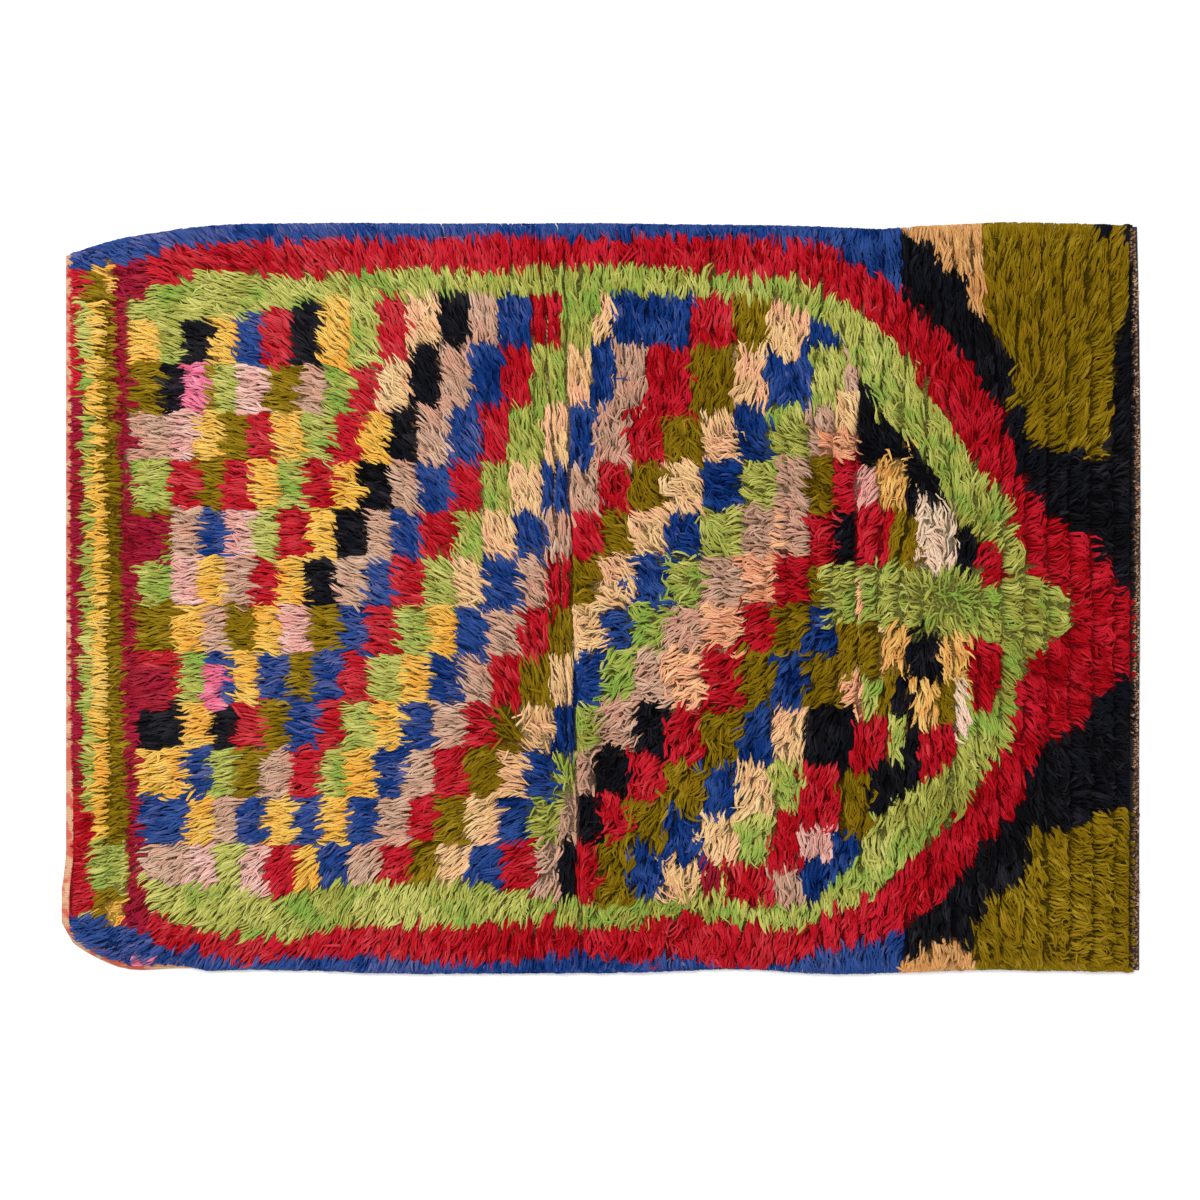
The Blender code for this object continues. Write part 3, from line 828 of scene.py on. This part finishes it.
# Where the lay parts, the yarns fall either way and hide their roots
either_way = soft_step(parting_of_lay(middle_x, middle_y), *LAY_PARTS)
brushed = brushed + (STRAY_TURN * strays + EITHER_TURN * either_way) * hand.normal(0, 1.0, count)
outwards = OUTWARDS * np.sign(root_y) * at_side
brushed = np.arctan2(np.sin(brushed) + outwards, np.cos(brushed))
side_x, side_y = -np.sin(brushed), np.cos(brushed)
offset = (middle_x - root_x) * side_x + (middle_y - root_y) * side_y
ahead_of_lock = (root_x - middle_x) * side_y - (root_y - middle_y) * side_x
# Inside its lock each yarn takes the next place from one side to the other
in_order = np.lexsort((offset, lock))
place = np.empty(count)
place[in_order] = np.arange(count) - (np.cumsum(members) - members)[lock[in_order]]
place = (place - (members[lock] - 1) / 2) * YARNS_APART
place_in_lock = np.clip(2 * place / LOCK_BREADTH, -1, 1)
full_length = YARN_LENGTH * (1 + of_lock(*LENGTH_SPREAD) - OUTER_LOSS * place_in_lock**2)
full_length = full_length - AHEAD_LOSS * ahead_of_lock
full_length = full_length * (1 - WORN * (soft_step(root_x, *WORN_FROM) * soft_step(root_x, *WORN_TO)))
flat_share = (np.cos(np.radians(SLOPES)) * STRETCHES).sum()
free_reach = full_length * flat_share
reach = np.minimum(free_reach, room(root_x, root_y, brushed, HANGING) + of_lock(*REACH_SPREAD))
kept = room(root_x, root_y, brushed, 0) > SHORTEST
flattening = np.clip(reach / free_reach, LEAST_SHARE, 1.0)
length = full_length * flattening
bend = of_lock(*BEND_SPREAD) * np.where(at_side, SIDE_STEADINESS, 1 + CURLY_BEND * curl)
wave = (np.abs(of_lock(*WAVE_SPREAD)) + LEAST_WAVE) * (1 + CURLY_WAVE * curl)
phase = hand.uniform(0, math.tau, locks)[lock] + hand.normal(0, PHASE_SPREAD, count)
lift = 1 + of_lock(*LIFT_SPREAD) * (0.5 + 0.5 * curl) + STRAY_LIFT * strays

# Each yarn lies along four points, from its root to its tip
last = len(STRETCHES)
points = np.zeros((count, last + 1, 3))
path_x, path_y, path_z = points[:, :, 0], points[:, :, 1], points[:, :, 2]
path_x[:, 0], path_y[:, 0], path_z[:, 0] = root_x, root_y, CLOTH_TOP
for step, (part, slope) in enumerate(zip(STRETCHES, SLOPES)):
    heading = brushed + bend * (BEND_STEP * step + BEND_START)
    rise = np.radians(slope)
    path_x[:, step + 1] = path_x[:, step] + length * part * math.cos(rise) * np.cos(heading)
    path_y[:, step + 1] = path_y[:, step] + length * part * math.cos(rise) * np.sin(heading)
    path_z[:, step + 1] = path_z[:, step] + length * part * math.sin(rise) * lift
share = np.concatenate([[0], np.cumsum(STRETCHES)])[None, :]
rim_distance = np.minimum(far_side(root_x) - root_y, root_y - near_side(root_x))
tips = (TIPS_TOGETHER[0] + TIPS_TOGETHER[1] * curl[:, None]) * soft_step(share, *TIPS_AT)
drawn_in = 1 - tips * smooth(rim_distance / TIPS_INSIDE)[:, None]
# Sideways each yarn starts at its own root, takes its place in its lock, and waves and crimps on the way
turning = phase[:, None] + (WAVE_TURNS[0] + WAVE_TURNS[1] * curl[:, None]) * share
waves = wave[:, None] * (np.sin(turning) - np.sin(phase[:, None])) * smooth(2.5 * share)
sway = (offset[:, None] - place[:, None] * drawn_in) * smooth(2.2 * share) + waves
sway = sway + CRIMP * drift(path_x, path_y, CRIMP_SIZE, 46) * smooth(2.2 * share)
path_x += sway * side_x[:, None]
path_y += sway * side_y[:, None]
# Towards the right each rib of the pile keeps to itself, with a groove beside it
apart = path_x - rib_x[:, None]
keeping = soft_step(rib_x, *KEEPING_AT, RIB_KEEPING)[:, None]
path_x += keeping * (RIB_PITCH / 2 * np.tanh(apart / (RIB_PITCH / 2)) - apart)
# Beside the fold's grooves every yarn stays on its own side
for groove, lean, gap in GROOVES:
    from_groove = root_x - parting_x(root_y) - groove - lean * root_y
    side = np.sign(from_groove)
    close = (np.abs(from_groove) < GROOVE_REACH) & (np.abs(root_y) < GROOVE_END)
    away = side[:, None] * (path_x - parting_x(path_y) - groove - lean * path_y)
    pushed = np.where(away > PUSHED_WITHIN, away, gap + PUSH * np.logaddexp(0, (away - gap) / PUSH))
    path_x += np.where(close[:, None], side[:, None] * (pushed - away), 0)
# What would pass the long sides hangs down over them
far_over = np.maximum(path_y - far_rim(path_x), 0)
near_over = np.maximum(near_rim(path_x) - path_y, 0)
path_y += HANGING_DROP * (near_over - far_over)
# It stands as high as the pile does there, higher where it was pressed together, and locks are domed
standing = pile_height(path_x, path_y) / PILE_HEIGHT
full_rise = (path_z - CLOTH_TOP) * standing * (0.55 + 0.45 * (1 / flattening[:, None]) ** 0.5)
dome = LOCK_DOME * (0.5 + 0.5 * curl[:, None]) * (1 - place_in_lock[:, None] ** 2)
full_rise = (full_rise + dome * smooth(2 * share)) * np.exp(-(far_over + near_over) / HANGING_RUN)
path_z[:] = CLOTH_TOP + TALLEST * np.tanh(full_rise / TALLEST)

# Each yarn takes the plan's colour at the place where it shows, near its tip
shown_x = root_x + SHOWN * (path_x[:, -1] - root_x)
shown_y = root_y + SHOWN * (path_y[:, -1] - root_y)
yarn_of = planned_yarn(shown_x, shown_y)
fading = FADED + FADING_WAVER * drift(root_x, root_y, 0.11, 51) + of_lock(*FADING_SPREAD)
fading = fading + soft_step(root_x, *FADED_LEFT)
at_head = soft_step(root_x, *HEAD_AT)
of_green = soft_step(root_x, *FADED_GREEN) - GREEN_AT_HEAD * at_head
of_green = of_green + FADING_WAVER * drift(root_x, root_y, 0.045, 52)
of_blue = np.where(np.abs(root_y) > BLUE_SIDE_Y, FADED_BLUE_SIDE, FADED_BLUE - soft_step(root_x, *DARK_BLUE))
fading = fading + (yarn_of == GREEN) * of_green - RED_AT_HEAD * at_head * (yarn_of == RED)
fading = np.clip(fading + (yarn_of == BLUE) * of_blue, 0.0, 1.0)
breadth = hand.choice(STRAND_BREADTHS, count, p=STRAND_SHARES)
breadth = breadth * (1 + of_lock(*BREADTH_SPREAD) + 0.1 * curl)
roll = LOCK_ROLL * place_in_lock


def unit(vectors):
    """Each vector, brought to length 1."""
    return vectors / np.linalg.norm(vectors, axis=2, keepdims=True)


def pile_of(name, points, breadth, roll, tone):
    """Flattened three-sided tubes that taper to a point. A ring of each is its point of the path, plus the
    breadth times a corner on top and one at either side, rolled round the path. The map's U is the tone's
    number, plus a half, plus the breadth on the map to either side, and its V is the share of the length."""
    ahead = np.zeros_like(points)
    ahead[:, 1:-1] = points[:, 2:] - points[:, :-2]
    ahead[:, 0] = points[:, 1] - points[:, 0]
    ahead[:, -1] = points[:, -1] - points[:, -2]
    ahead = unit(ahead)
    sideways = unit(np.cross(ahead, (0, 0, 1)))
    upwards = np.cross(sideways, ahead)
    turn, straight = np.sin(roll)[:, None, None], np.cos(roll)[:, None, None]
    sideways, upwards = straight * sideways - turn * upwards, straight * upwards + turn * sideways
    corner_side = np.array([0.0, -0.5, 0.5])
    corner_up = np.array([0.22, -0.08, -0.08])
    rings = points.shape[1] - 1
    thickness = breadth[:, None] * np.array(BREADTHS)
    ring_points = points[:, :rings, None, :] + thickness[:, :, None, None] * (
        corner_side[None, None, :, None] * sideways[:, :rings, None, :]
        + corner_up[None, None, :, None] * upwards[:, :rings, None, :]
    )
    number = len(points)
    corners = np.concatenate([ring_points.reshape(number, 3 * rings, 3), points[:, rings:]], 1).reshape(-1, 3)
    here = np.arange(3)
    beside = (here + 1) % 3
    walls = np.concatenate([
        np.stack([k + here, k + 3 + here, k + 3 + beside, k + beside], -1) for k in range(0, 3 * rings - 3, 3)
    ])
    top_ring = 3 * rings - 3
    ends = np.concatenate([
        np.stack([top_ring + here, np.full(3, 3 * rings), top_ring + beside], -1), [[0, 1, 2]]
    ])
    first = (np.arange(number) * (3 * rings + 1))[:, None, None]
    quads = (walls[None] + first).reshape(-1, 4)
    triangles = (ends[None] + first).reshape(-1, 3)
    piece = mesh_piece(name, corners, quads, triangles)
    piece.data.set_sharp_from_angle(angle=math.radians(80))
    corner_across = np.concatenate([np.tile([0.0, -1.0, 1.0], rings), [0.0]])
    corner_along = np.concatenate([np.repeat(share[0, :rings], 3), [1.0]])
    level = (np.round(tone * (TONES - 1)) + 0.5)[:, None]
    half = np.minimum(YARN_ON_MAP / 2 * breadth / YARN_BREADTH, WIDEST_ON_MAP)[:, None]
    flat_map = []
    for corner in (walls.reshape(-1), ends.reshape(-1)):
        places = [level + half * corner_across[corner][None], level * 0 + corner_along[corner]]
        flat_map.append(np.stack(places, -1).reshape(-1, 2))
    layer = piece.data.uv_layers.new(name="yarn")
    layer.uv.foreach_set("vector", np.concatenate(flat_map).astype(np.float32).ravel())
    return piece


def dyed_wool(name, tones):
    """Softly spun dyed wool: the yarns of a strand lie side by side in the same small waves, each round, with
    painted shade at its sides. They have painted shade towards the root, go from a dark to a faded tone
    across the lot, and turn to another hue where the dye of their neighbours has run."""
    dark, middle, light, run = (wool(*tone) for tone in tones)
    finish = Finish(name, roughness=0.9, specular=0.05)
    place = finish.node("UVMap", {"uv_map": "yarn"})
    tone_and_side = finish.node("SeparateXYZ", None, {0: place})
    along_yarn = finish.node("SeparateXYZ", None, {0: place}, output=1)
    level = tone_and_side.maths("FLOOR")
    across_yarns = (tone_and_side - level - 0.5) * (1 / YARN_ON_MAP)
    crimp = finish.noise(95.0, 1.0) * 1.8
    side = (across_yarns + crimp + level * 0.37).maths("FRACT") * 2 - 1
    round_top = 1 - side * side
    spot = finish.node("CombineXYZ", None, {0: across_yarns * 1.2, 1: along_yarn * 7, 2: level})
    fibres = finish.node("TexNoise", None, {"Vector": spot, "Scale": 1.6, "Detail": 2.0})
    stops = ((0.0, dark), (0.5, middle), (1.0, light))
    lot = finish.node("ValToRGB", {"stops": stops}, {0: level * (1 / TONES)})
    lot = finish.mix(finish.between(finish.noise(21.0, 4.0), 0.47, 0.66) * 0.85, lot, run)
    # Painted shade: each yarn's round top is lighter and its sides darker, and the strand darkens towards its
    # root.
    brightness = (round_top * 0.38 + 0.49 + fibres * 0.22) * (along_yarn * 0.10 + 0.92)
    finish.colour(finish.darker(lot, brightness))
    finish.relief(round_top * 0.7 + fibres * 0.3, 0.7, 0.0014)
    return finish.material


# Of each yarn its dark, middle and faded tone, and the hue to which it has run
DYES = (
    ((132, 0, 8), (180, 15, 28), (208, 64, 72), (200, 30, 48)),
    ((104, 8, 26), (146, 18, 38), (172, 46, 60), (160, 26, 58)),
    ((0, 24, 74), (22, 58, 126), (98, 104, 156), (48, 78, 142)),
    ((126, 119, 42), (172, 173, 79), (203, 198, 110), (126, 163, 64)),
    ((82, 62, 0), (123, 98, 6), (164, 134, 34), (134, 104, 12)),
    ((6, 6, 8), (15, 14, 18), (46, 44, 50), (16, 19, 28)),
    ((206, 150, 96), (234, 190, 134), (240, 210, 156), (240, 176, 138)),
    ((214, 142, 40), (238, 184, 74), (238, 197, 106), (240, 166, 62)),
    ((156, 112, 92), (198, 156, 130), (219, 183, 158), (212, 152, 128)),
    ((184, 124, 112), (224, 170, 156), (240, 200, 186), (230, 156, 146)),
    ((196, 66, 106), (232, 110, 142), (242, 152, 176), (226, 92, 124)),
    ((200, 166, 130), (232, 202, 168), (246, 230, 206), (240, 196, 174)),
    ((206, 122, 82), (236, 162, 122), (246, 194, 154), (248, 192, 136)),
    ((190, 126, 50), (226, 174, 94), (244, 206, 126), (232, 160, 88)),
    ((150, 100, 54), (208, 152, 94), (232, 184, 124), (218, 152, 90)),
)

for number, name in enumerate(YARNS):
    chosen = kept & (yarn_of == number)
    piece = pile_of(f"pile_{name}", points[chosen], breadth[chosen], roll[chosen], fading[chosen])
    piece.data.materials.append(dyed_wool(f"{name}_wool", DYES[number]))
    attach(piece, "root")
    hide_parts("rug")


# Roots of the pile
# The feet of the knotted yarns stand packed together on the cloth. They show only as a felted bed of the
# same colours between the locks, darkened by painted shade.

BED_LINES = (130, 90)
BED_ENDS = (0.004, 0.990)
BED_MARGIN = 0.006
# The bed stays inside the round near left corner, and is matted higher left of the fold
BED_CORNER, MATTED_LEFT = (-0.66, -0.03, 0.020), (-0.05, -0.2)
BED_SHARE, BED_UNDER_CURLS, BED_MATTED = 0.48, 0.12, 0.07

along, across = shares_of(BED_LINES)
bed_x, bed_y = spread(BED_ENDS[0] + BED_ENDS[1] * along, across, BED_MARGIN)
bed_y = bed_y + soft_step(bed_x, *BED_CORNER) * (1 - across) ** 6
matted = soft_step(bed_x, *MATTED_LEFT)
bed_share = BED_SHARE - BED_UNDER_CURLS * curliness(bed_x, bed_y) + BED_MATTED * matted
bed_top = CLOTH_TOP + (pile_height(bed_x, bed_y) - CLOTH_TOP) * bed_share
bed_top = bed_top + 0.002 * drift(bed_x, bed_y, 0.011, 61)
pile_roots = closed_sheet("pile_roots", bed_x, bed_y, bed_top, np.full_like(bed_x, CLOTH_TOP + 0.0005))
middle_tones = np.array([wool(*tones[1]) for tones in DYES])
# The bed's colour is its yarn's middle tone darkened as painted shade between the locks, less where matted.
bed_dye_and_shade = middle_tones[planned_yarn(bed_x, bed_y)] * (0.66 + 0.14 * matted[:, :, None])
bed_dye_and_shade = bed_dye_and_shade.reshape(-1, 4)
dye = pile_roots.data.color_attributes.new("dye", "FLOAT_COLOR", "POINT")
dye.data.foreach_set("color", np.concatenate([bed_dye_and_shade, bed_dye_and_shade]).astype(np.float32).ravel())
felt = Finish("felted_roots", roughness=1.0, specular=0.1)
dye_and_shade_colour = felt.node("VertexColor", {"layer_name": "dye"})
felt_and_shade_noise = felt.between(felt.noise(220.0, 3.0), 0.40, 0.62)
# The noise mixes in a darker copy of the colour as painted shade among the felted roots; it also gives their
# bumps.
felt.colour(felt.mix(felt_and_shade_noise, felt.darker(dye_and_shade_colour, 0.4), dye_and_shade_colour))
felt.relief(felt_and_shade_noise, 1.0, 0.004)
pile_roots.data.materials.append(felt.material)
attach(pile_roots, "root")
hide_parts("rug")


# Ends of the warps
# At the right end the warps are turned back as two rows of small tan loops over a dark weft. The same bare
# wefts show again at the bottom of the fold, where no knots cover them.

LOOP_SPACING = 0.0068
LOOP_SIZE = 0.0028
LOOP_TURNS = np.radians((-110, -30, 50, 130))
LOOP_ROWS = (0.0058, 0.0110)
LOOPS_X, LOOPS_INSET = 0.855, 0.004
LOOP_JITTER_X, LOOP_JITTER_Y, LOOP_TURNING = 0.0014, 0.0008, 0.9
LOOP_BREADTH, WEFT_BREADTH = 0.0030, 0.0024
WEFT_SPACING, WEFT_WAVE, WEFT_JITTER = 0.0075, 0.0006, 0.0004
WEFTS_FROM, WEFTS_TO = -0.40, 0.45
# The bare wefts stand this much higher than the bed, as a share of the pile
WEFT_STAND = 0.16
WARP_DYES = ((84, 56, 40), (160, 116, 84), (208, 166, 130), (140, 102, 80))

loop_y = np.arange(near_side(LOOPS_X) + LOOPS_INSET, far_side(LOOPS_X) - LOOPS_INSET, LOOP_SPACING)
loop_y = np.tile(loop_y, 2)
loops = len(loop_y)
loop_y = loop_y + np.repeat((0, LOOP_SPACING / 2), loops // 2)
loop_y = loop_y + hand.uniform(-LOOP_JITTER_Y, LOOP_JITTER_Y, loops)
from_end = 0.85 + 0.25 * drift(0 * loop_y, loop_y, 0.05, 71)
loop_x = right_end(loop_y) - np.repeat(LOOP_ROWS, loops // 2) * from_end
loop_x = loop_x + hand.uniform(-LOOP_JITTER_X, LOOP_JITTER_X, loops)
turns = LOOP_TURNS[None, :] + hand.uniform(-LOOP_TURNING, LOOP_TURNING, (loops, 1))
size = LOOP_SIZE * hand.uniform(0.7, 1.2, (loops, 1))
loop_points = np.stack([
    loop_x[:, None] + size * np.cos(turns),
    loop_y[:, None] + 0.8 * size * np.sin(turns),
    CLOTH_TOP + 0.0010 + 0.5 * size * (1 + np.cos(turns)) * np.sin(np.linspace(0.3, 2.8, last + 1)),
], -1)
weft_y = np.arange(WEFTS_FROM, WEFTS_TO, WEFT_SPACING)
weft_steps = weft_y[:, None] + np.linspace(0, 0.9, last + 1) * WEFT_SPACING
weft_line = parting_x(weft_steps) + GROOVES[1][0] + GROOVES[1][1] * weft_steps
weft_line = weft_line + WEFT_WAVE * np.sin(np.linspace(0, math.tau, last + 1))
weft_line = weft_line + hand.normal(0, WEFT_JITTER, (len(weft_y), 1))
weft_height = CLOTH_TOP + (pile_height(weft_line, weft_steps) - CLOTH_TOP) * (BED_SHARE + WEFT_STAND)
weft_points = np.stack([weft_line, weft_steps, weft_height], -1)
bare_points = np.concatenate([loop_points, weft_points])
bare_ends = pile_of(
    "warp_ends", bare_points, np.repeat((LOOP_BREADTH, WEFT_BREADTH), (loops, len(weft_y))),
    np.zeros(len(bare_points)), hand.random(len(bare_points)),
)
bare_ends.data.materials.append(dyed_wool("warp_wool", WARP_DYES))
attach(bare_ends, "root")
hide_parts("rug")


# Floor and light
# A plain white floor, one broad soft lamp overhead and an even white surround.

FLOOR_SIZE = 12.0
floor_mesh = bpy.data.meshes.new("floor")
half = FLOOR_SIZE / 2
floor_corners = [(-half, -half, 0), (half, -half, 0), (half, half, 0), (-half, half, 0)]
floor_mesh.from_pydata(floor_corners, [], [(0, 1, 2, 3)])
floor = put("floor", floor_mesh)
paint = Finish("white_floor", roughness=0.9, specular=0.1)
paint.colour((0.93, 0.93, 0.93, 1.0))
floor.data.materials.append(paint.material)

lamp = bpy.data.lights.new("overhead_lamp", "AREA")
lamp.shape = "RECTANGLE"
lamp.size, lamp.size_y = 3.4, 3.4
lamp.energy = 260.0
overhead = put("overhead_lamp", lamp)
overhead.location = (-1.9, 2.6, 5.4)
overhead.rotation_euler = (math.radians(-25), math.radians(-19), 0)

surround = bpy.data.worlds.new("soft_surround")
surround.use_nodes = True
surround.node_tree.nodes["Background"].inputs["Color"].default_value = (1.0, 1.0, 1.0, 1.0)
surround.node_tree.nodes["Background"].inputs["Strength"].default_value = 1.0
bpy.context.scene.world = surround
bpy.context.scene.view_settings.view_transform = "Standard"
